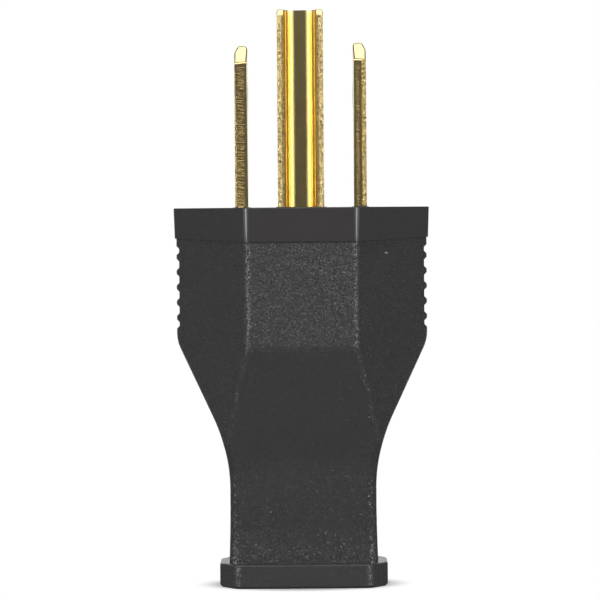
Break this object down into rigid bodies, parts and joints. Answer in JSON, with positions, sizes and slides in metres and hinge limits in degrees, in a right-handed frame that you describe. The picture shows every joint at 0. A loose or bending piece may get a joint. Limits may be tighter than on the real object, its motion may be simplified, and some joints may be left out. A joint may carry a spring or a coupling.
{
  "type": "grounded plug",
  "caption": "Black rewireable grounding plug with two flat blades, a U-shaped ground pin, a tapered two-part body and a collared cord inlet.",
  "frame": {"origin": "centre of the collar's end face, where the cord enters", "axes": "+Z along the pins, away from the cord; +Y from the ground pin towards the blades; +X towards the neutral blade"},
  "size_m": [0.0274, 0.0234, 0.061],
  "materials": {
    "body": "finely textured",
    "face": "smooth satin",
    "brass": "bright stamped sheet",
    "insulator": "satin",
    "brass_screw": "turned",
    "plated_screw": "nickelled",
    "green_screw": "green dyed",
    "plated_plate": "zinc plated",
    "jaw": "ribbed",
    "steel_screw": "zinc plated"
  },
  "bodies": {
    "root": {"front_shell": "body", "rear_cover": "body", "face_cap": "face", "line_blade": "brass", "neutral_blade": "brass", "ground_pin": "brass", "terminal_barrier": "insulator", "line_terminal_screw": "brass_screw", "neutral_terminal_screw": "plated_screw", "ground_terminal_screw": "green_screw", "line_clamp_plate": "plated_plate", "neutral_clamp_plate": "plated_plate", "ground_clamp_plate": "plated_plate", "front_cord_jaw": "jaw", "rear_cord_jaw": "jaw", "upper_left_screw": "steel_screw", "upper_right_screw": "steel_screw", "lower_left_screw": "steel_screw", "lower_right_screw": "steel_screw", "left_nut": "plated_plate", "right_nut": "plated_plate"}
  },
  "joints": []
}
